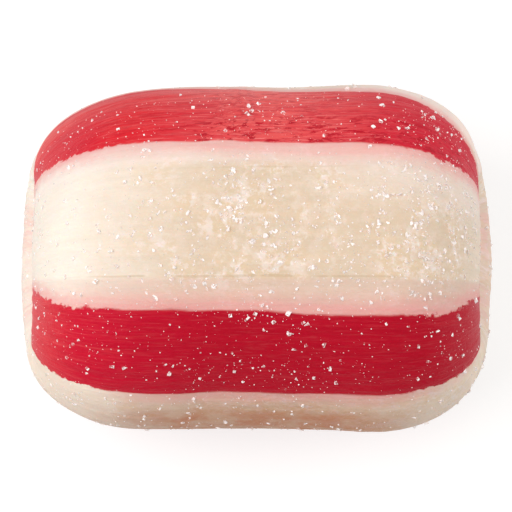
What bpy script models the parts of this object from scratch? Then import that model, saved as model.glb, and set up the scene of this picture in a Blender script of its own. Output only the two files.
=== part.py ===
"""A soft-peppermint pillow: a stub of striped pulled-sugar rope, pinched shut at both ends.

The sweet is one solid. The rope runs along X, the front is -Y and +Z is up, with
the origin on the small flat spot that it rests on, at the bottom centre. Cutting the warm
rope squeezes each end to a level slit, so that an upper and a lower lobe meet there in a
crease. The lower lobe reaches a little further out than the upper one.
"""
import math

import bmesh
import bpy

MM = 0.001

# Driving dimensions, in metres
UPPER_HALF_LENGTH = 11.47 * MM   # middle to the end of the upper lobe, before the crease
LOWER_HALF_LENGTH = 12.26 * MM   # middle to the end of the lower lobe, before the crease
CREASE_HALF_LENGTH = 11.0 * MM   # middle to the bottom of the crease in each end
HALF_WIDTH = 8.84 * MM           # of the rope's section, along Y
HALF_HEIGHT = 8.0 * MM           # of the rope's section, along Z
SLIT_HALF_WIDTH = 4.1 * MM       # of the pinched end, along Y
END_LENGTH = 6.9 * MM            # over which each end rounds off
REST_SINK = 0.60 * MM            # flattened off the underside
REST_BLEND = 0.25 * MM           # height over which the flat spot curves into the side

# How far the soft rope is from an even one
SECTION_POWER = 2.15             # 2 is an ellipse, more is squarer
CREASE_SHARPNESS = 0.14          # share of the section over which the lobes turn into the crease
END_POWER = 2.4                  # the same for the way that each end rounds off
WAIST = 0.016                    # the middle is this much thinner than the shoulders
TAPER = 0.008                    # the +X shoulder is this much thicker, the other thinner
BACK_LEFT_ROUNDING = 0.37        # the back of the -X end rounds off over a longer run
SHOULDER = 6.5 * MM              # where the shoulders stand, for the waist and the taper

# Stripes: middle and half of the width in degrees, from the front at 0 over the top at 90
RED_STRIPES = ((42.0, 20.0), (131.0, 15.0), (222.0, 17.0), (312.0, 17.0))

# Mesh steps
STEPS_AROUND = 72
STEPS_ALONG = 58
BARREL_SHARE = 0.30              # share of the steps that lie on the straight barrel
WELD = 0.001 * MM

WHITE = (0.83, 0.70, 0.55)
RED = (0.55, 0.02, 0.04)


def signed_power(value, power):
    """The power of a number's size, with its sign kept."""
    return math.copysign(abs(value) ** power, value)


def smooth_step(start, end, value):
    """0 before the start, 1 after the end, and a smooth rise between."""
    share = min(max((value - start) / (end - start), 0.0), 1.0)
    return share * share * (3.0 - 2.0 * share)


def rest_flat(height):
    """The height above the table, with what would lie below it pressed flat."""
    if height <= -REST_BLEND:
        return 0.0
    if height >= REST_BLEND:
        return height
    return (height + REST_BLEND) ** 2 / (4.0 * REST_BLEND)


def candy_point(turn, along):
    """A point of the skin: turn runs 0 to 1 round the rope, along -1 to 1 from end to end."""
    angle = 2.0 * math.pi * turn
    outward = signed_power(math.cos(angle), 2.0 / SECTION_POWER)    # 1 at the front
    upward = signed_power(math.sin(angle), 2.0 / SECTION_POWER)     # 1 at the top
    lower = max(-upward, 0.0)
    reach = UPPER_HALF_LENGTH + (LOWER_HALF_LENGTH - UPPER_HALF_LENGTH) * lower
    run = END_LENGTH
    if along < 0.0:
        run *= 1.0 + BACK_LEFT_ROUNDING * smooth_step(0.0, 0.8, -outward)

    # The barrel keeps the full section, and the end closes on the slit in a quarter round
    share = abs(along)
    if share < BARREL_SHARE:
        x = (reach - run) * share / BARREL_SHARE
        section = 1.0
    else:
        bend = (share - BARREL_SHARE) / (1.0 - BARREL_SHARE) * math.pi / 2.0
        x = reach - run + run * math.sin(bend) ** (2.0 / END_POWER)
        section = max(math.cos(bend), 0.0) ** (2.0 / END_POWER)
    slit_end = (1.0 - abs(upward)) ** 2
    crease = CREASE_HALF_LENGTH + (UPPER_HALF_LENGTH - CREASE_HALF_LENGTH) * slit_end
    x -= (reach - crease) * math.exp(-((section / CREASE_SHARPNESS) ** 2))
    x = math.copysign(x, along)

    shoulder = min(abs(x) / SHOULDER, 1.0)
    swell = 1.0 + WAIST * (shoulder * shoulder - 1.0) + TAPER * x / SHOULDER
    half_width = SLIT_HALF_WIDTH + (HALF_WIDTH - SLIT_HALF_WIDTH) * section
    y = -half_width * outward * swell
    z = HALF_HEIGHT * section * upward * swell
    return x, y, rest_flat(z + HALF_HEIGHT - REST_SINK)


def is_red(turn):
    """Whether a place round the rope lies on one of the red stripes."""
    angle = 360.0 * turn
    return any(abs(angle - middle) < half for middle, half in RED_STRIPES)


def make_material(name, colour):
    """Smooth boiled sugar of one colour."""
    material = bpy.data.materials.new(name)
    material.use_nodes = True
    shader = material.node_tree.nodes["Principled BSDF"]
    shader.inputs["Base Color"].default_value = (*colour, 1.0)
    shader.inputs["Roughness"].default_value = 0.4
    shader.inputs["Metallic"].default_value = 0.0
    material.diffuse_color = (*colour, 1.0)
    return material


def make_candy(collection):
    """A flat grid rolled up into the rope, with its seam and its two slits welded."""
    bm = bmesh.new()
    bmesh.ops.create_grid(bm, x_segments=STEPS_AROUND, y_segments=STEPS_ALONG, size=0.5)
    for face in bm.faces:
        if is_red(face.calc_center_median().x + 0.5):
            face.material_index = 1
    for vert in bm.verts:
        vert.co = candy_point(vert.co.x + 0.5, 2.0 * vert.co.y)
    bmesh.ops.remove_doubles(bm, verts=bm.verts, dist=WELD)
    bmesh.ops.recalc_face_normals(bm, faces=bm.faces)
    mesh = bpy.data.meshes.new("candy")
    bm.to_mesh(mesh)
    bm.free()
    mesh.materials.append(make_material("white_sugar", WHITE))
    mesh.materials.append(make_material("red_sugar", RED))
    mesh.shade_smooth()
    candy = bpy.data.objects.new("candy", mesh)
    collection.objects.link(candy)
    return candy


def main():
    for old in list(bpy.data.objects):
        bpy.data.objects.remove(old, do_unlink=True)
    collection = bpy.data.collections.new("peppermint_pillow")
    bpy.context.scene.collection.children.link(collection)
    make_candy(collection)


main()
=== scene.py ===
# %% [markdown]
# # A soft-peppermint pillow
# This sweet is a stub cut from a rope of pulled sugar. The rope is laid up from cream and red
# strands, and the cut squeezes each end flat, so the stripes run together into a level crease.
# Lesson plan: load the measured model, roll the skin up with Geometry Nodes, colour it with one
# shader, and stick the sugar on it. The measured model stays the boss of every size.

# %% Load the measured model
import math

import bpy
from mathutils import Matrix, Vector


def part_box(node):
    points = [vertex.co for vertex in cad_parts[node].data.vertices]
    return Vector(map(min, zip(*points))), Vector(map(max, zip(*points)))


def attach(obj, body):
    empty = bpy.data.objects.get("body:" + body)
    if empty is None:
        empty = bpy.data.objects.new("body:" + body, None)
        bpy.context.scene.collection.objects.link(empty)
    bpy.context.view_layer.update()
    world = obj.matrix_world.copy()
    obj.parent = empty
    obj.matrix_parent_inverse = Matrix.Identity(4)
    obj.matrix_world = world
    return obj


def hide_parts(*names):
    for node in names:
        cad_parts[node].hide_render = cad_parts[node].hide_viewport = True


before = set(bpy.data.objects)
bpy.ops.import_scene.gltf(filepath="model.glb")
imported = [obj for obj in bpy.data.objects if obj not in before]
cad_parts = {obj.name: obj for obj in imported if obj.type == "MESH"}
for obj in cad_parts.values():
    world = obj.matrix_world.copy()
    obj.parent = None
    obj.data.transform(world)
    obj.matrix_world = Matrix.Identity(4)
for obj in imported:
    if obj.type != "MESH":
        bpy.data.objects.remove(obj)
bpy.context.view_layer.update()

MM = 0.001
low, high = (Vector(corner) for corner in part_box("candy"))
length, width, height = high - low
print(f"candy box {length / MM:.2f} x {width / MM:.2f} x {height / MM:.2f} mm")

# %% [markdown]
# ## A way to write node maths
# Node trees are easier to read as sums than as lists of nodes. A Wire holds one socket. Adding,
# multiplying or comparing wires adds the nodes that work it out, in a shader tree and in a
# Geometry Nodes tree alike. Vectors and colours go through Vector Math, plain numbers through Math.

# %% Wires


def set_socket(tree, socket, value):
    """Links a wire to an input, or writes a plain value on it."""
    if isinstance(value, Wire):
        tree.links.new(value.socket, socket)
    else:
        socket.default_value = value


def worked_by(operation, swapped=False):
    """A method for Wire that works out one operation on the wire and what it is given."""
    def method(wire, *others):
        values = (wire, *others)
        if swapped:
            values = reversed(values)
        return wire.maths(operation, *values)
    return method


class Wire:
    """One socket of a node tree, with arithmetic."""

    def __init__(self, tree, socket):
        self.tree = tree
        self.socket = socket

    @classmethod
    def node(cls, tree, kind, settings=None, sockets=None, out=0):
        """Adds any node: its settings are made first, then its sockets, and one output is kept."""
        node = tree.nodes.new(kind)
        for name, value in (settings or {}).items():
            setattr(node, name, value)
        for name, value in (sockets or {}).items():
            set_socket(tree, node.inputs[name], value)
        return cls(tree, node.outputs[out])

    def add(self, kind, settings=None, sockets=None, out=0):
        """Adds a node to this wire's tree."""
        return Wire.node(self.tree, kind, settings, sockets, out)

    def maths(self, operation, *values):
        """A Math node, or a Vector Math node where a vector or a colour takes part."""
        def is_vector(value):
            kind = value.socket.type if isinstance(value, Wire) else ""
            return kind in ("VECTOR", "RGBA") or isinstance(value, (tuple, Vector))

        vector = any(is_vector(value) for value in values)
        kind = "ShaderNodeVectorMath" if vector else "ShaderNodeMath"
        if vector:
            values = [v if isinstance(v, Wire) or is_vector(v) else (v, v, v) for v in values]
        return self.add(kind, {"operation": operation}, dict(enumerate(values)))

    __add__ = worked_by("ADD")
    __radd__ = worked_by("ADD", swapped=True)
    __sub__ = worked_by("SUBTRACT")
    __rsub__ = worked_by("SUBTRACT", swapped=True)
    __mul__ = worked_by("MULTIPLY")
    __rmul__ = worked_by("MULTIPLY", swapped=True)
    __truediv__ = worked_by("DIVIDE")
    __rtruediv__ = worked_by("DIVIDE", swapped=True)
    __pow__ = worked_by("POWER")
    __abs__ = worked_by("ABSOLUTE")
    sin = worked_by("SINE")
    cos = worked_by("COSINE")
    exp = worked_by("EXPONENT")
    sign = worked_by("SIGN")
    at_least = worked_by("MAXIMUM")
    at_most = worked_by("MINIMUM")
    above = worked_by("GREATER_THAN")

    def __neg__(self):
        return self * -1.0

    def signed_power(self, power):
        """A power of the size that keeps the sign."""
        return self.sign() * abs(self) ** power

    def part(self, axis):
        """The X, Y or Z part of a vector."""
        return self.add("ShaderNodeSeparateXYZ", None, {0: self}, axis)

    def rise(self, start, end, bottom=0.0, top=1.0):
        """A smooth rise from bottom to top as this goes from start to end."""
        span = {"Value": self, "From Min": start, "From Max": end, "To Min": bottom, "To Max": top}
        return self.add("ShaderNodeMapRange", {"interpolation_type": "SMOOTHSTEP"}, span)

    def bell(self, middle, reach):
        """1 at the middle, falling to a third at the reach on either side."""
        away = (self - middle) / reach
        return (-(away * away)).exp()

    def noise(self, scale, detail=2.0, rough=0.5):
        """Noise over a vector, which averages a half."""
        sockets = {"Vector": self, "Scale": scale, "Detail": detail, "Roughness": rough}
        return self.add("ShaderNodeTexNoise", None, sockets)

    def cells(self, scale):
        """Distance to the nearest of a scatter of random points."""
        return self.add("ShaderNodeTexVoronoi", None, {"Vector": self, "Scale": scale})


# %% Vectors and colours


def pack_vector(x, y, z):
    """A vector wire from three numbers, at least one of them a wire."""
    tree = next(value.tree for value in (x, y, z) if isinstance(value, Wire))
    return Wire.node(tree, "ShaderNodeCombineXYZ", None, {0: x, 1: y, 2: z})


def blend(factor, start, end):
    """A colour that goes from start to end as the factor goes from 0 to 1."""
    tree = next(value.tree for value in (factor, start, end) if isinstance(value, Wire))
    node = tree.nodes.new("ShaderNodeMix")
    node.data_type = "RGBA"
    for index, value in ((0, factor), (6, start), (7, end)):
        if isinstance(value, tuple):
            value = (*value, 1.0)
        set_socket(tree, node.inputs[index], value)
    return Wire(tree, node.outputs[2])


# %% [markdown]
# ## Running a Geometry Nodes tree
# Each tree has named inputs for its sizes. It runs once, on an object that is made for it, and
# its result is kept as a plain mesh: an exporter reads plain meshes, and has no use for a tree.

# %% Helpers for Geometry Nodes
SOCKET_KIND = {int: "NodeSocketInt", float: "NodeSocketFloat", bpy.types.Material: "NodeSocketMaterial"}


def new_tree(name, sizes):
    """A tree with one mesh in and one out, and a named input for each size."""
    tree = bpy.data.node_groups.new(name, "GeometryNodeTree")
    tree.interface.new_socket("Mesh", in_out="INPUT", socket_type="NodeSocketGeometry")
    tree.interface.new_socket("Mesh", in_out="OUTPUT", socket_type="NodeSocketGeometry")
    for label, value in sizes.items():
        kind = next(SOCKET_KIND[t] for t in SOCKET_KIND if isinstance(value, t))
        tree.interface.new_socket(label, in_out="INPUT", socket_type=kind)
    source = tree.nodes.new("NodeGroupInput")
    inputs = {socket.name: Wire(tree, socket) for socket in source.outputs if socket.name}
    return tree, inputs


def close_tree(tree, mesh):
    """Sends a mesh to the tree's output."""
    sink = tree.nodes.new("NodeGroupOutput")
    tree.links.new(mesh.socket, sink.inputs[0])


def run_tree(name, tree, sizes, start=None):
    """Runs a tree on a start mesh and returns the result as an object with a plain mesh."""
    mesh = start or bpy.data.meshes.new(name + "_start")
    maker = bpy.data.objects.new(name + "_maker", mesh)
    bpy.context.scene.collection.objects.link(maker)
    modifier = maker.modifiers.new(name, "NODES")
    modifier.node_group = tree
    for item in tree.interface.items_tree:
        if item.in_out == "INPUT" and item.name in sizes:
            modifier[item.identifier] = sizes[item.name]
    evaluated = maker.evaluated_get(bpy.context.evaluated_depsgraph_get())
    result = bpy.data.meshes.new_from_object(evaluated)
    bpy.data.objects.remove(maker, do_unlink=True)
    piece = bpy.data.objects.new(name, result)
    bpy.context.scene.collection.objects.link(piece)
    triangles = sum(len(face.vertices) - 2 for face in result.polygons)
    print(f"{name}: {len(result.vertices)} points, {triangles} triangles")
    return piece


# %% [markdown]
# ## The rope's sizes
# The rope has an upper and a lower lobe at each end, with the slit between them. All sizes are
# shares of the measured box, so this skin follows the solid that it stands for. The places round
# the rope are angles in degrees: 0 faces the front, 90 the top and 180 the back.

# %% Sizes of the rope
ROPE = {
    "Upper Half Length": 0.4744 * length,
    "Lower Half Length": 0.5070 * length,
    "Crease Half Length": 0.4549 * length,
    "Half Width": 0.4998 * width,
    "Half Height": 0.5198 * height,
    "Slit Half Width": 0.2318 * width,
    "End Length": 0.2854 * length,
    "Rest Sink": 0.0390 * height,
    "Shoulder": 0.2688 * length,
    "Section Power": 2.15,
    "End Power": 2.4,
    "Crease Sharpness": 0.14,
    "Waist": 0.016,
    "Taper": 0.008,
    "Back Left Rounding": 0.37,
    "Barrel Share": 0.30,
}
STEPS_AROUND = 600
STEPS_ALONG = 158
ROPE_RADIUS = 8.4 * MM      # of the round rope that the patterns are laid out on
SKIN_HALF_LENGTH = 15.5 * MM    # from the middle over the end to the slit, along the skin
print("rope:", {name: round(size, 5) for name, size in ROPE.items()})

# %% [markdown]
# ## The skin
# A sweet like this could be sculpted, or smoothed from a coarse cage. Its form follows a plain
# rule, though: a round section runs along the barrel and closes on the slit in a quarter round.
# So a flat grid is rolled up by that rule. Before it is bent, each point keeps its place on the
# straight rope in an attribute named rope, and every pattern is drawn there: it then gathers
# towards the slit by itself, as pulled sugar does.

# %% Roll up the skin


def rope_surface(turn, along, size):
    """The bent skin: turn runs 0 to 1 round the rope, along -1 to 1 from slit to slit."""
    angle = turn * math.tau
    power = 2.0 / size["Section Power"]
    outward = angle.cos().signed_power(power)
    upward = angle.sin().signed_power(power)
    lower = (-upward).at_least(0.0)
    reach = size["Upper Half Length"] + (size["Lower Half Length"] - size["Upper Half Length"]) * lower
    left = 1.0 - along.above(0.0)
    back = (-outward).rise(0.0, 0.8)
    run = size["End Length"] * (1.0 + size["Back Left Rounding"] * left * back)

    share = abs(along)
    barrel = size["Barrel Share"]
    bend = ((share - barrel) / (1.0 - barrel)).at_least(0.0) * (math.pi / 2.0)
    straight = (share / barrel).at_most(1.0)
    end_power = 2.0 / size["End Power"]
    section = bend.cos().at_least(0.0) ** end_power
    crease = size["Crease Half Length"] + (size["Upper Half Length"] - size["Crease Half Length"]) * (
        1.0 - abs(upward)) ** 2.0
    pinch = (-((section / size["Crease Sharpness"]) ** 2.0)).exp()
    x = (reach - run) * straight + run * bend.sin() ** end_power - (reach - crease) * pinch
    x = x * along.sign()

    shoulder = (abs(x) / size["Shoulder"]).at_most(1.0)
    swell = 1.0 + size["Waist"] * (shoulder * shoulder - 1.0) + size["Taper"] * x / size["Shoulder"]
    half_width = size["Slit Half Width"] + (size["Half Width"] - size["Slit Half Width"]) * section
    y = -half_width * outward * swell
    z = size["Half Height"] * section * upward * swell + size["Half Height"] - size["Rest Sink"]
    return pack_vector(x, y, z), section


def store(mesh, name, value, kind):
    """Keeps a value on every point of a mesh under a name."""
    sockets = {"Geometry": mesh, "Name": name, "Value": value}
    return mesh.add("GeometryNodeStoreNamedAttribute", {"data_type": kind, "domain": "POINT"}, sockets)


def recall(mesh, name, kind):
    """Reads back the values that were kept under a name."""
    return mesh.add("GeometryNodeInputNamedAttribute", {"data_type": kind}, {"Name": name})


# %% [markdown]
# ## Where the strands lie
# The stripes are strands of red sugar in the cream rope. Their edges waver, because the rope was
# pulled by hand. The same sums place them for the relief here and for the colour later, so both
# agree: a place is red when its depth into the nearest red strand is above zero.

# %% Places of the strands and seams
# Each red strand: its first edge in degrees, its drift for each mm along the rope and how far the
# pinched ends pull it, the same for its second edge, and whether it thins out before the slit
RED_STRANDS = (
    (24.3, 0.0, 0.0, 59.5, -0.1, 7.0, False),
    (115.6, -0.25, 9.0, 152.0, -0.9, -9.0, False),
    (205.0, 0.0, 0.0, 243.0, 0.3, 0.0, True),
    (292.0, 0.0, 0.0, 330.0, -0.3, 0.0, True),
)
# Where a strand thins out, and where the pinch pulls it, in mm from the middle
THIN_FROM, THIN_TO = 6.0, 13.0
PINCH_FROM, PINCH_TO = 8.5, 16.0
# How far a strand's edge strays in long waves, in frayed threads, and in tears at the ends, in degrees
WAVER, FRAY, TEAR = 3.4, 2.0, 6.0
# Long seams in the cream sugar: angle, depth in mm, half width in degrees, middle and reach in mm
SEAMS = (
    (71.7, 0.045, 0.45, -0.5, 8.0),
    (105.8, 0.022, 0.5, 0.5, 5.5),
    (64.5, 0.012, 0.5, 1.0, 7.0),
    (172.0, 0.04, 0.6, 1.0, 8.0),
    (262.0, 0.04, 0.6, -2.0, 7.0),
    (350.0, 0.03, 0.6, 2.0, 7.0),
)
SEAM_WAVER = 1.4        # degrees
print(f"{len(RED_STRANDS)} red strands, {len(SEAMS)} seams")

# %% Strands and seams


def stretched(rope, along, across):
    """The rope's coordinates, drawn out lengthwise so that noise on them makes streaks."""
    return rope * (along, across, across)


def gap(angle, middle):
    """Degrees between two directions, the short way round."""
    apart = abs(angle - middle)
    return apart.at_most(360.0 - apart)


def angle_round(rope):
    """Degrees round the rope, 0 to 360."""
    upward = rope.part(2)
    turned = upward.maths("ARCTAN2", upward, rope.part(1)) * math.degrees(1.0)
    return turned.maths("FLOORED_MODULO", turned, 360.0)


def red_depth(rope, angle):
    """Degrees from the edge of the nearest red strand, above zero inside it."""
    along = rope.part(0)
    off_middle = abs(along)
    waver = (stretched(rope, 0.22, 0.5).noise(1.0, 2.0) - 0.5) * WAVER
    fray = (stretched(rope, 0.5, 4.0).noise(1.0, 3.0, 0.6) - 0.5) * FRAY
    torn = (rope.noise(2.4, 3.0, 0.6) - 0.5) * off_middle.rise(5.5, 9.5) * TEAR
    place = angle + waver + fray + torn
    thinned = off_middle.rise(THIN_FROM, THIN_TO)
    pinched = off_middle.rise(PINCH_FROM, PINCH_TO)
    depth = None
    for start, start_drift, start_pull, end, end_drift, end_pull, thins in RED_STRANDS:
        first_edge = along * start_drift + pinched * start_pull + start
        second_edge = along * end_drift + pinched * end_pull + end
        inside = (place - first_edge).at_most(second_edge - place)
        if thins:
            inside = inside - thinned * (end - start)
        depth = inside if depth is None else depth.at_least(inside)
    return depth


def seam_depth(rope, angle):
    """How far the long seams are sunk, in mm."""
    along = rope.part(0)
    waver = (stretched(rope, 0.25, 0.2).noise(1.0, 1.0) - 0.5) * SEAM_WAVER
    wavering = angle + waver
    broken = stretched(rope, 0.7, 0.5).noise(1.0, 2.0).rise(0.34, 0.52)
    sunk = 0.0
    for middle, depth, half_width, place, reach in SEAMS:
        fade = along.bell(place, reach)
        sunk = sunk + wavering.bell(middle, half_width) * fade * depth
    return sunk * broken


def frost_patch(rope):
    """Where dry sugar frost clings to the cream, 0 to 1."""
    patches = rope.noise(0.55, 3.0, 0.6).rise(0.42, 0.62)
    over = rope.part(0).rise(-9.0, -2.0)
    return patches * over


# %% [markdown]
# ## Relief
# The skin isn't smooth: it has fine draw lines along the rope, a few long seams where strands
# folded together, and a dry crumpled frost on the cream. Large marks like these change the
# outline and catch the light from every side, so they are made as shape and not as bump.

# %% Heights of the relief
# From the lowest to the highest place of each kind of mark, in mm
UNEVEN, DRAW_LINES, FINE_LINES = 0.34, 0.11, 0.035
FROST_HEIGHT, PITS, GATHERS = 0.10, 0.05, 0.20
PRESSED_OVER = 0.2 * MM         # the skin eases onto the table over this height
SAME_PLACE = 0.0005 * MM        # points closer than this are joined

# %% Build the skin's tree


def skin_relief(rope, section):
    """How far the skin stands out from the plain rope, in mm."""
    angle = angle_round(rope)
    red = red_depth(rope, angle).rise(-0.8, 0.8)
    uneven = (rope.noise(0.16, 1.0) - 0.5) * UNEVEN
    lines = (stretched(rope, 0.10, 1.3).noise(1.0, 3.0, 0.6) - 0.5) * DRAW_LINES
    fine = (stretched(rope, 0.5, 6.0).noise(1.0, 2.0, 0.6) - 0.5) * FINE_LINES
    crumple = (0.55 - rope.cells(2.6)).at_least(0.0) * rope.noise(1.7, 2.0).rise(0.4, 0.6)
    frost = crumple * frost_patch(rope) * (1.0 - red) * FROST_HEIGHT
    pitted = (rope.noise(2.2, 3.0, 0.6) - 0.5) * PITS * red
    near_slit = (1.0 - section.rise(0.0, 0.5)) * section.rise(0.0, 0.08)
    gathers = (stretched(rope, 0.06, 1.1).noise(1.0, 2.0) - 0.5) * GATHERS * near_slit
    marks = uneven + lines + fine + frost + pitted - seam_depth(rope, angle)
    return marks * section.rise(0.0, 0.35) + gathers


def skin_tree(sizes):
    """Rolls a grid up into the skin, raises the relief on it and rests it on the table."""
    tree, size = new_tree("candy_skin", sizes)
    vertices = {"Size X": 1.0, "Size Y": 2.0,
                "Vertices X": size["Steps Around"] + 1, "Vertices Y": size["Steps Along"] + 1}
    grid = Wire.node(tree, "GeometryNodeMeshGrid", None, vertices)
    place = Wire.node(tree, "GeometryNodeInputPosition")
    turn = place.part(0) + 0.5
    along = place.part(1)
    around = turn * math.tau
    radius = size["Rope Radius"]
    rope = pack_vector(along * size["Skin Half Length"], around.cos() * radius, around.sin() * radius)
    bent, section = rope_surface(turn, along, size)

    mesh = store(grid, "rope", rope * (1.0 / MM), "FLOAT_VECTOR")
    mesh = store(mesh, "section", section, "FLOAT")
    mesh = mesh.add("GeometryNodeSetPosition", None, {"Geometry": mesh, "Position": bent})
    mesh = mesh.add("GeometryNodeMergeByDistance", None, {"Geometry": mesh, "Distance": SAME_PLACE})

    kept_rope = recall(mesh, "rope", "FLOAT_VECTOR")
    kept_section = recall(mesh, "section", "FLOAT")
    normal = mesh.add("GeometryNodeInputNormal")
    offset = normal * (skin_relief(kept_rope, kept_section) * MM)
    mesh = mesh.add("GeometryNodeSetPosition", None, {"Geometry": mesh, "Offset": offset})

    # What would lie below the table is pressed flat
    now = mesh.add("GeometryNodeInputPosition")
    up = now.part(2)
    pressed = pack_vector(now.part(0), now.part(1), up.maths("SMOOTH_MAX", up, 0.0, PRESSED_OVER))
    mesh = mesh.add("GeometryNodeSetPosition", None, {"Geometry": mesh, "Position": pressed})
    mesh = mesh.add("GeometryNodeSetMaterial", None, {"Geometry": mesh, "Material": size["Material"]})
    close_tree(tree, mesh)
    return tree


# %% [markdown]
# ## The colour of pulled sugar
# Pulled sugar is full of tiny air bubbles, so light goes a little way in and comes back soft: a
# small constant subsurface weight does that. The colour comes from the same strands as the
# relief. Red dye bleeds a little way into the cream, dry frost lies over both, and the fine draw
# lines shift the tone. Light and shade are painted on as well: a painted sheen on the upper cream
# and the top red strand, painted light towards the left and low ends, and painted shade on the
# front red strand and, in warm brown, on the low front edge and the underside.

# %% Colours
CREAM = (0.735, 0.575, 0.425)
PALE_AND_LIT_CREAM = (0.92, 0.83, 0.73)
HONEY = (0.80, 0.60, 0.39)
SEAM_SHADE = (0.56, 0.39, 0.24)
FROST_AND_SHEEN_CREAM = (0.90, 0.775, 0.71)
LIT_LOW_CREAM = (0.92, 0.75, 0.61)
RIM_CREAM = (0.97, 0.79, 0.72)
ROSY_CREAM = (0.74, 0.53, 0.44)
BLUSH = (0.82, 0.33, 0.32)
RED = (0.60, 0.004, 0.028)
FROST_AND_SHEEN_RED = (0.92, 0.36, 0.33)
LIT_RED = (0.74, 0.012, 0.022)
SHADED_FRONT_RED = (0.39, 0.001, 0.012)
WORN_AND_SHEEN_RED = (0.86, 0.125, 0.115)
DARK_RED = (0.47, 0.002, 0.016)
SHADE_BROWN = (0.54, 0.165, 0.06)

# Places round the rope that the colours are laid out by, in degrees
LOW_FRONT = 8.0
FRONT_STRAND = 38.0
ABOVE_FRONT_STRAND = 61.0
BELOW_BACK_STRAND = 114.0
BACK_STRAND = 131.0
BACK_STRAND_FAR_EDGE = 150.0
FAR_RIM = 172.0
UNDERSIDE = 292.0
SHADED_LOW_EDGE = 356.0

# %% Cream sugar


def cream_colour(rope, angle, lines, blotches):
    """Cream sugar: ends paler, partly painted light, dry frost in the middle, painted sheen above and shade
    below.
    """
    x = rope.part(0)
    # Painted light: the low front is painted lighter towards both ends.
    low = gap(angle, LOW_FRONT).rise(40.0, 15.0)
    # Painted light: the cream is painted paler towards the lit left end; the right tip is paler too.
    pale_tip_and_lit_left = (-x).rise(2.0, 10.0) * 0.9 + x.rise(9.0, 14.0) * 0.35
    cream = blend(pale_tip_and_lit_left, CREAM, PALE_AND_LIT_CREAM)
    cream = blend(low * abs(x).rise(3.0, 9.0) * 0.8, cream, LIT_LOW_CREAM)
    clouds = rope.noise(0.55, 4.0, 0.6)
    cream = blend(clouds.rise(0.42, 0.62) * 0.45 * (1.0 - pale_tip_and_lit_left), cream, HONEY)
    coarse = rope.noise(1.6, 5.0, 0.68).rise(0.47, 0.60)
    fine = rope.noise(4.0, 4.0, 0.65).rise(0.50, 0.62)
    crumbs = coarse * 0.55 + fine * 0.45
    cream = blend((crumbs * (0.3 + 0.9 * frost_patch(rope))).at_most(1.0), cream, FROST_AND_SHEEN_CREAM)
    low_rim = gap(angle, ABOVE_FRONT_STRAND).rise(11.0, 9.0)
    # Painted sheen: the cream's upper part, just below the back red strand, is painted paler.
    wide_sheen = gap(angle, BELOW_BACK_STRAND - 2.0).rise(22.0, 8.0) * x.rise(1.0, 8.0)
    painted_upper_sheen = gap(angle, BELOW_BACK_STRAND).rise(9.0, 4.0) + wide_sheen
    far_rim = gap(angle, FAR_RIM).rise(38.0, 22.0)
    rosy = low_rim * (0.5 + lines * 0.3) * (0.35 + 0.65 * x.rise(-11.0, -4.0))
    cream = blend(rosy, cream, ROSY_CREAM)
    cream = blend(painted_upper_sheen.at_most(1.0) * 0.55, cream, FROST_AND_SHEEN_CREAM)
    cream = blend(far_rim * (0.5 + x.rise(2.0, 8.0) * 0.4), cream, RIM_CREAM)
    cream = cream * (1.0 + (lines - 0.5) * 0.18 + (blotches - 0.5) * 0.14)
    groove = seam_depth(rope, angle).rise(0.004, 0.03)
    cream = blend(groove * 0.45, cream, SEAM_SHADE)
    # Painted shade: the low front edge, and more faintly the underside, are painted a darker, warmer brown.
    painted_low_shade = gap(angle, SHADED_LOW_EDGE).rise(30.0, 8.0) * abs(x).rise(10.0, 3.0)
    painted_low_shade = painted_low_shade * (0.55 + 0.45 * clouds.rise(0.35, 0.6))
    under = gap(angle, UNDERSIDE).rise(80.0, 50.0) * abs(x).rise(13.0, 5.0) * 0.3
    return blend(painted_low_shade.at_least(under) * 0.85, cream, SHADE_BROWN)


# %% Red sugar


def red_colour(rope, angle, lines, blotches):
    """Red sugar: worn streaks, a painted sheen and light up top, painted shade in front, and dark wet pits.
    """
    x = rope.part(0)
    streaks = stretched(rope, 0.35, 5.5).noise(1.0, 4.0, 0.7)
    upper = gap(angle, BACK_STRAND).rise(30.0, 18.0)
    # Painted light: the top strand is painted a brighter red towards its lit left end.
    lit_left_red = (-x).bell(7.3, 2.2) * upper
    # Painted shade: the front red strand is painted darker away from the lit left end.
    painted_front_shade = gap(angle, FRONT_STRAND).rise(40.0, 28.0) * x.rise(-9.0, -1.0)
    strand = blend(lit_left_red * 0.8, blend(painted_front_shade * 0.6, RED, SHADED_FRONT_RED), LIT_RED)
    thick = streaks.rise(0.36, 0.60) * 0.4 + blotches.rise(0.35, 0.65) * 0.22 + 0.32
    # Painted sheen: the middle of the top red strand and its far edge are painted paler in streaks.
    painted_sheen = x.bell(-0.5, 6.2) * upper * thick
    far_edge = gap(angle, BACK_STRAND_FAR_EDGE).rise(14.0, 4.0) * (-x).rise(-3.0, 5.0)
    painted_sheen = painted_sheen + far_edge * (streaks.rise(0.3, 0.6) * 0.3 + 0.15)
    worn = streaks.rise(0.5, 0.72) * (0.06 + 0.22 * (-x).rise(3.0, 9.0)) + (-x).rise(8.5, 13.0) * 0.28
    strand = blend((worn + painted_sheen * (1.0 - lit_left_red * 0.6)).at_most(0.9), strand, WORN_AND_SHEEN_RED)
    # Frost streaks all over, painted stronger as sheen in the middle of the top strand.
    frost_and_sheen_streaks = stretched(rope, 0.9, 12.0).noise(1.0, 3.0, 0.65).rise(0.52, 0.66)
    strand = blend(frost_and_sheen_streaks * (x.bell(-0.5, 6.0) * upper * 0.38 + 0.05), strand, FROST_AND_SHEEN_RED)
    near_edge = gap(angle, BACK_STRAND - 10.0).rise(9.0, 3.0) * x.rise(-8.0, -2.0)
    pits = stretched(rope, 1.3, 3.6).noise(1.0, 5.0, 0.72).rise(0.50, 0.60)
    pitted = (0.18 + 0.7 * near_edge + 0.3 * upper * x.bell(0.0, 7.0)).at_most(0.9)
    strand = blend(pits * pitted, strand, DARK_RED)
    return strand * (1.0 + (lines - 0.5) * 0.22)


# %% All the colour together

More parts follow.
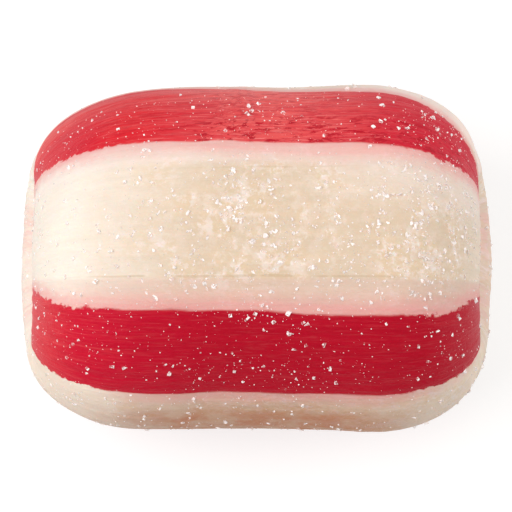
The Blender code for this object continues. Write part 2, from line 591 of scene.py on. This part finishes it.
def skin_colour(rope, section):
    """The sweet's colour, where it is red, and its draw lines."""
    angle = angle_round(rope)
    depth = red_depth(rope, angle)
    red = depth.rise(-0.6, 0.6)
    lines = stretched(rope, 0.25, 3.2).noise(1.0, 4.0, 0.65)
    blotches = rope.noise(0.35, 3.0, 0.55)

    # Dye creeps out of the strands, though hardly on the low front near the ends
    x = rope.part(0)
    near_ends = (-x).rise(4.0, 8.5).at_least(x.rise(6.0, 10.0) * 0.6)
    clean_end = near_ends * gap(angle, LOW_FRONT - 3.0).rise(45.0, 25.0)
    bleed = depth.rise(-12.0, 0.0) ** 1.7 * (0.25 + lines * 0.9) * (1.0 - clean_end)
    cream = blend(bleed.at_most(1.0), cream_colour(rope, angle, lines, blotches), BLUSH)

    # The pinch draws some red along the crease, above it and below it
    near = gap(angle, 110.0).rise(22.0, 4.0) + gap(angle, 66.0).rise(14.0, 3.0)
    torn = rope.noise(1.6, 3.0, 0.6).rise(0.42, 0.56)
    crease = section.rise(0.34, 0.16) * near.at_most(1.0) * torn
    flow = gap(angle, 250.0).rise(30.0, 5.0) + gap(angle, 294.0).rise(24.0, 4.0)
    tint = section.rise(0.6, 0.15) * flow.at_most(1.0) * (0.3 + 0.4 * torn)
    sugar = blend(crease * 0.85, blend(tint * 0.5, cream, BLUSH), RED)
    return blend(red, sugar, red_colour(rope, angle, lines, blotches)), red, lines


# %% The skin's shader
BUMP_STRENGTH = 0.6
BUMP_HEIGHT = 0.05 * MM
DULL_SHINE = 0.1                # dry pulled sugar hardly mirrors anything
SOFT_SHARE = 0.25               # of the light that goes in and comes back soft
SOFT_REACH = (1.0, 0.45, 0.3)   # red light travels furthest in sugar
SOFT_DEPTH = 0.7 * MM

def skin_material():
    """Pulled sugar: the colour, a roughness and a fine bump that follow it, and a soft inside."""
    material = bpy.data.materials.new("pulled_sugar")
    material.use_nodes = True
    tree = material.node_tree
    shader = tree.nodes["Principled BSDF"]
    rope = Wire.node(tree, "ShaderNodeAttribute", {"attribute_name": "rope"}, None, 1)
    section = Wire.node(tree, "ShaderNodeAttribute", {"attribute_name": "section"}, None, 2)
    colour, red, lines = skin_colour(rope, section)
    set_socket(tree, shader.inputs["Base Color"], colour)
    set_socket(tree, shader.inputs["Roughness"], 0.52 - red * 0.12 + (lines - 0.5) * 0.25)
    grain = stretched(rope, 0.6, 7.0).noise(1.0, 3.0, 0.6) + rope.noise(5.0, 4.0, 0.65) * 1.2
    bump = Wire.node(tree, "ShaderNodeBump", None,
                     {"Height": grain, "Strength": BUMP_STRENGTH, "Distance": BUMP_HEIGHT})
    set_socket(tree, shader.inputs["Normal"], bump)
    shader.inputs["Specular IOR Level"].default_value = DULL_SHINE
    shader.inputs["Subsurface Weight"].default_value = SOFT_SHARE
    shader.inputs["Subsurface Radius"].default_value = SOFT_REACH
    shader.inputs["Subsurface Scale"].default_value = SOFT_DEPTH
    return material


# %% Make the sweet
pulled_sugar = skin_material()
skin_sizes = ROPE | {"Steps Around": STEPS_AROUND, "Steps Along": STEPS_ALONG, "Rope Radius": ROPE_RADIUS,
                     "Skin Half Length": SKIN_HALF_LENGTH, "Material": pulled_sugar}
candy_skin = run_tree("candy_skin", skin_tree(skin_sizes), skin_sizes)
candy_skin.data.shade_smooth()
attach(candy_skin, "root")
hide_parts("candy")

# %% [markdown]
# ## Sugar on the sweet
# Pillows are tumbled in sugar so that they don't stick. Three kinds of grain cling to this one:
# clear crystals, flat crumpled flakes on the cream, and fine dust. Grains lie in drifts, so each
# kind gets a density that is drawn on the rope: a thin cover everywhere, a list of drifts, and a
# far rim where most of it has rubbed off. Geometry Nodes scatters the grains and dents each one
# differently by noise, so that a few dozen faces a grain are enough.

# %% Drifts of sugar
# Each drift: mm along the rope, angle, reach in mm, spread in degrees, strength
CRYSTAL_DRIFTS = ((9.5, 128.0, 3.5, 14.0, 1.0), (8.5, 108.0, 3.0, 8.0, 0.9), (0.0, 60.0, 6.5, 5.0, 1.0),
                  (0.5, 38.0, 5.5, 14.0, 0.5), (-1.0, 21.0, 6.0, 5.0, 0.6), (9.0, 42.0, 3.0, 13.0, 0.45),
                  (-9.0, 47.0, 3.0, 11.0, 0.7), (-9.5, 125.0, 3.5, 10.0, 0.4), (-1.0, 131.0, 4.0, 12.0, 0.4),
                  (4.0, 200.0, 6.0, 14.0, 0.5), (-5.0, 318.0, 5.0, 12.0, 0.4))
FLAKE_DRIFTS = ((-0.5, 90.0, 3.4, 12.0, 1.0), (3.5, 84.0, 3.5, 13.0, 0.7), (8.5, 96.0, 3.2, 13.0, 1.0),
                (-4.5, 82.0, 3.0, 12.0, 0.35), (8.0, 76.0, 3.0, 10.0, 0.5), (0.0, 180.0, 5.0, 10.0, 0.6))
DUST_DRIFTS = CRYSTAL_DRIFTS + FLAKE_DRIFTS
RUBBED_OFF = 0.75       # share of the sugar that the far rim has lost


def drift_cover(rope, drifts, thin):
    """How thick the sugar lies, from the thin cover upwards."""
    x = rope.part(0)
    angle = angle_round(rope)
    cover = None
    for along, middle, reach, spread, strength in drifts:
        here = x.bell(along, reach) * angle.bell(middle, spread) * strength
        cover = here if cover is None else cover.at_least(here)
    patchy = rope.noise(0.9, 2.0).rise(0.36, 0.60)
    rubbed = 1.0 - gap(angle, FAR_RIM).rise(32.0, 22.0) * RUBBED_OFF
    return (cover + thin) * (patchy * 0.85 + 0.15) * rubbed


# %% Grains before they are dented


def cube_blank(tree):
    """A crystal: a cube with each face split in four."""
    sides = {"Size": (1.6, 1.6, 1.6), "Vertices X": 3, "Vertices Y": 3, "Vertices Z": 3}
    return Wire.node(tree, "GeometryNodeMeshCube", None, sides)


def plate_blank(tree):
    """A flake: a plate with seven sides, which its flatness makes thin."""
    sides = {"Vertices": 7, "Side Segments": 1, "Fill Segments": 2, "Radius": 1.0, "Depth": 1.6}
    return Wire.node(tree, "GeometryNodeMeshCylinder", {"fill_type": "TRIANGLE_FAN"}, sides)


def ball_blank(tree):
    """A speck of dust: a ball of twenty faces."""
    return Wire.node(tree, "GeometryNodeMeshIcoSphere", None, {"Radius": 1.0, "Subdivisions": 1})


# %% The tree that scatters grains
CLEAR_OF_TABLE = 0.4 * MM
DENT_SCALE = 0.9        # turns of the dent noise for each grain radius


def random_number(tree, seed):
    """A number from 0 to 1 for each point."""
    return Wire.node(tree, "FunctionNodeRandomValue", {"data_type": "FLOAT"}, {"Seed": seed}, 1)


def random_vector(tree, seed, lowest, highest):
    """A vector between two corners for each point."""
    sockets = {0: lowest, 1: highest, "Seed": seed}
    return Wire.node(tree, "FunctionNodeRandomValue", {"data_type": "FLOAT_VECTOR"}, sockets)


def sugar_tree(name, sizes, drifts, grain_blank, on_cream):
    """Scatters dented grains over a skin, and leaves the red strands bare of them if on_cream."""
    tree, size = new_tree(name, sizes)
    source = size["Mesh"]
    rope = recall(source, "rope", "FLOAT_VECTOR")
    cover = drift_cover(rope, drifts, size["Thin Cover"])
    if on_cream:
        cover = cover * red_depth(rope, angle_round(rope)).rise(-2.0, -5.0)
    clear_of_table = source.add("GeometryNodeInputPosition").part(2).above(CLEAR_OF_TABLE)
    density = cover * size["Grains In A Square Millimetre"] * clear_of_table * (1.0 / MM ** 2)
    scatter = source.add("GeometryNodeDistributePointsOnFaces", None,
                         {"Mesh": source, "Density": density, "Seed": size["Seed"]})
    facing = Wire(tree, scatter.socket.node.outputs["Rotation"])
    normal = Wire(tree, scatter.socket.node.outputs["Normal"])

    luck = random_number(tree, 1)
    radius = size["Smallest"] + (size["Largest"] - size["Smallest"]) * luck ** size["Rarity"]
    stretch = random_vector(tree, 2, (0.85, 0.4, 0.7), (1.5, 0.9, 1.3))
    shape = stretch * pack_vector(radius, radius, radius * size["Flatness"])
    lift = normal * (radius * size["Flatness"] * size["Lift"])
    points = scatter.add("GeometryNodeSetPosition", None, {"Geometry": scatter, "Offset": lift})
    points = store(points, "radius", radius, "FLOAT")
    tumble = pack_vector(size["Tumble"], size["Tumble"], 1.0)
    spin = random_vector(tree, 3, (0.0, 0.0, 0.0), (1.0, 1.0, math.tau)) * tumble
    turn = spin.add("FunctionNodeEulerToRotation", None, {0: spin})
    turned = spin.add("FunctionNodeRotateRotation", {"rotation_space": "LOCAL"},
                      {"Rotation": facing, "Rotate By": turn})
    grains = points.add("GeometryNodeInstanceOnPoints", None,
                        {"Points": points, "Instance": grain_blank(tree), "Rotation": turned, "Scale": shape})
    grains = grains.add("GeometryNodeRealizeInstances", None, {"Geometry": grains})

    place = grains.add("GeometryNodeInputPosition")
    grain_radius = recall(grains, "radius", "FLOAT")
    swirl = place.add("ShaderNodeTexNoise", None,
                      {"Vector": place * (1.0 / grain_radius), "Scale": DENT_SCALE, "Detail": 1.0}, 1)
    dent = (swirl - (0.5, 0.5, 0.5)) * (grain_radius * size["Dents"])
    grains = grains.add("GeometryNodeSetPosition", None, {"Geometry": grains, "Offset": dent})
    grains = grains.add("GeometryNodeSetMaterial", None, {"Geometry": grains, "Material": size["Material"]})
    close_tree(tree, grains)
    return tree


# %% [markdown]
# ## What sugar grains look like
# A crystal is clear with cloudy patches: the strand under it shows through the clear ones. Real
# glass that bends light could stand for it, but glass this small, lying on the skin, comes out
# dark. So Alpha is used instead: the cloudy patches are solid, and the rest lets most light
# through in crystals and flakes, and hardly any in dust, which is broken so finely that it only
# looks white. A faint glow of painted light stands for the light that scatters about inside a grain.

# %% Sugar materials
# Turns of noise for each metre
TONE_SCALE, CLOUD_SCALE = 4000.0, 5200.0
DARKER = 0.78           # the darkest tone's share of the colour
PAINTED_GLOW_COLOUR = (1.0, 0.93, 0.91, 1.0)
SUGAR_IOR = 1.5


def sugar_material(name, clear, roughness, colour, glow):
    """Sugar grains: part clear, with a faint painted glow for the light that scatters inside them."""
    material = bpy.data.materials.new(name)
    material.use_nodes = True
    tree = material.node_tree
    shader = tree.nodes["Principled BSDF"]
    place = Wire.node(tree, "ShaderNodeTexCoord", None, None, 3)
    tone = place.noise(TONE_SCALE, 2.0).rise(0.35, 0.65)
    darker = tuple(part * DARKER for part in colour)
    set_socket(tree, shader.inputs["Base Color"], blend(tone, darker, colour))
    set_socket(tree, shader.inputs["Roughness"], roughness + (tone - 0.5) * 0.2)
    cloudy = place.noise(CLOUD_SCALE, 2.0, 0.6).rise(0.42, 0.56)
    set_socket(tree, shader.inputs["Alpha"], 1.0 - clear * (1.0 - cloudy))
    shader.inputs["Emission Color"].default_value = PAINTED_GLOW_COLOUR
    shader.inputs["Emission Strength"].default_value = glow
    shader.inputs["IOR"].default_value = SUGAR_IOR
    return material


crystal_sugar = sugar_material("crystal_sugar", 0.85, 0.16, (0.98, 0.92, 0.90), 0.15)
flake_sugar = sugar_material("flake_sugar", 0.75, 0.25, (0.96, 0.86, 0.82), 0.12)
dust_sugar = sugar_material("dust_sugar", 0.2, 0.6, (0.93, 0.80, 0.77), 0.12)

# %% Scatter the sugar
# Each kind: its drifts, its blank, whether it keeps to the cream, and the tree's sizes. A higher
# rarity makes large grains rarer, and dents are in grain radii.
SUGAR_KINDS = {
    "sugar_crystals": (CRYSTAL_DRIFTS, cube_blank, False, {
        "Grains In A Square Millimetre": 4.2, "Thin Cover": 0.10,
        "Smallest": 0.04 * MM, "Largest": 0.17 * MM, "Rarity": 2.3,
        "Flatness": 0.7, "Lift": 0.35, "Tumble": 3.0, "Dents": 2.7, "Seed": 11,
        "Material": crystal_sugar}),
    "sugar_flakes": (FLAKE_DRIFTS, plate_blank, True, {
        "Grains In A Square Millimetre": 24.0, "Thin Cover": 0.10,
        "Smallest": 0.025 * MM, "Largest": 0.165 * MM, "Rarity": 2.0,
        "Flatness": 0.28, "Lift": 0.2, "Tumble": 0.6, "Dents": 1.7, "Seed": 12,
        "Material": flake_sugar}),
    "sugar_dust": (DUST_DRIFTS, ball_blank, False, {
        "Grains In A Square Millimetre": 20.0, "Thin Cover": 0.16,
        "Smallest": 0.012 * MM, "Largest": 0.055 * MM, "Rarity": 2.2,
        "Flatness": 0.8, "Lift": 0.4, "Tumble": 3.0, "Dents": 1.2, "Seed": 13,
        "Material": dust_sugar}),
}
for kind, (drifts, blank, on_cream, sizes) in SUGAR_KINDS.items():
    sugar = run_tree(kind, sugar_tree(kind, sizes, drifts, blank, on_cream), sizes, candy_skin.data)
    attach(sugar, "root")

# %% [markdown]
# ## Light, floor and camera
# One broad lamp above the left end does the modelling. Two weak ones, low at the right end and
# behind, open up the shade, and a white world fills the rest, as in a light tent. The floor shows
# as plain white, with the soft shadow of the sweet kept on it.

# %% Stage
MIDDLE = (low + high) / 2.0
FLOOR_SIDE = 1.2                # metres
FLOOR_GREY = (0.42, 0.41, 0.40, 1.0)
FLOOR_GLOW = 0.66
WHITE = (1.0, 1.0, 1.0, 1.0)
TENT_LIGHT = 0.52
# Each lamp: its place and its side in metres, and its power in watts
LAMPS = {
    "window": ((-0.23, -0.05, 0.28), 0.30, 1.0),
    "reflector": ((0.26, 0.04, 0.07), 0.24, 0.38),
    "back_card": ((0.06, 0.30, 0.10), 0.28, 0.13),
}


def white_floor():
    """A floor that looks white where the lamps reach it, and keeps the shadow."""
    bpy.ops.mesh.primitive_plane_add(size=FLOOR_SIDE)
    floor = bpy.context.object
    floor.name = "floor"
    material = bpy.data.materials.new("floor_paper")
    material.use_nodes = True
    tree = material.node_tree
    shader = tree.nodes["Principled BSDF"]
    shader.inputs["Base Color"].default_value = FLOOR_GREY
    shader.inputs["Roughness"].default_value = 0.9
    path = tree.nodes.new("ShaderNodeLightPath")
    seen = Wire(tree, path.outputs["Is Camera Ray"]) + Wire(tree, path.outputs["Is Glossy Ray"])
    seen = seen + Wire(tree, path.outputs["Is Transmission Ray"])
    shader.inputs["Emission Color"].default_value = WHITE
    set_socket(tree, shader.inputs["Emission Strength"], seen.at_most(1.0) * FLOOR_GLOW)
    floor.data.materials.append(material)


def lamp(name, place, side, watts):
    """A square white lamp that faces the sweet."""
    data = bpy.data.lights.new(name, "AREA")
    data.size = side
    data.energy = watts
    lamp_object = bpy.data.objects.new(name, data)
    lamp_object.location = place
    lamp_object.rotation_euler = (MIDDLE - Vector(place)).to_track_quat("-Z", "Y").to_euler()
    bpy.context.scene.collection.objects.link(lamp_object)


def white_world(strength):
    """A world that the camera sees as full white, and that lights the sweet more weakly."""
    world = bpy.data.worlds.new("light_tent")
    bpy.context.scene.world = world
    world.use_nodes = True
    tree = world.node_tree
    background = tree.nodes["Background"]
    background.inputs["Color"].default_value = WHITE
    path = tree.nodes.new("ShaderNodeLightPath")
    seen = Wire(tree, path.outputs["Is Camera Ray"])
    set_socket(tree, background.inputs["Strength"], seen * (1.0 - strength) + strength)


white_floor()
white_world(TENT_LIGHT)
for name, (place, side, watts) in LAMPS.items():
    lamp(name, place, side, watts)
print("lamps:", ", ".join(LAMPS))

# %% Camera
CAMERA_HEIGHT = 75.0            # degrees above level
CAMERA_DISTANCE = 240.0 * MM
CANDY_SHARE = 0.924             # of the view's width that the sweet fills
SENSOR_WIDTH = 36.0             # mm
NEAR_CLIP = 0.01                # metres


def add_camera():
    """A camera in front of the sweet and high above it, aimed at its middle."""
    data = bpy.data.cameras.new("camera")
    data.sensor_width = SENSOR_WIDTH
    data.lens = SENSOR_WIDTH * CAMERA_DISTANCE * CANDY_SHARE / length
    data.clip_start = NEAR_CLIP
    camera = bpy.data.objects.new("camera", data)
    tilt = math.radians(CAMERA_HEIGHT)
    away = Vector((0.0, -math.cos(tilt), math.sin(tilt))) * CAMERA_DISTANCE
    camera.location = MIDDLE + away
    camera.rotation_euler = (-away).to_track_quat("-Z", "Y").to_euler()
    bpy.context.scene.collection.objects.link(camera)
    bpy.context.scene.camera = camera
    print(f"camera lens {data.lens:.0f} mm")


add_camera()
bpy.context.scene.view_settings.view_transform = "Standard"
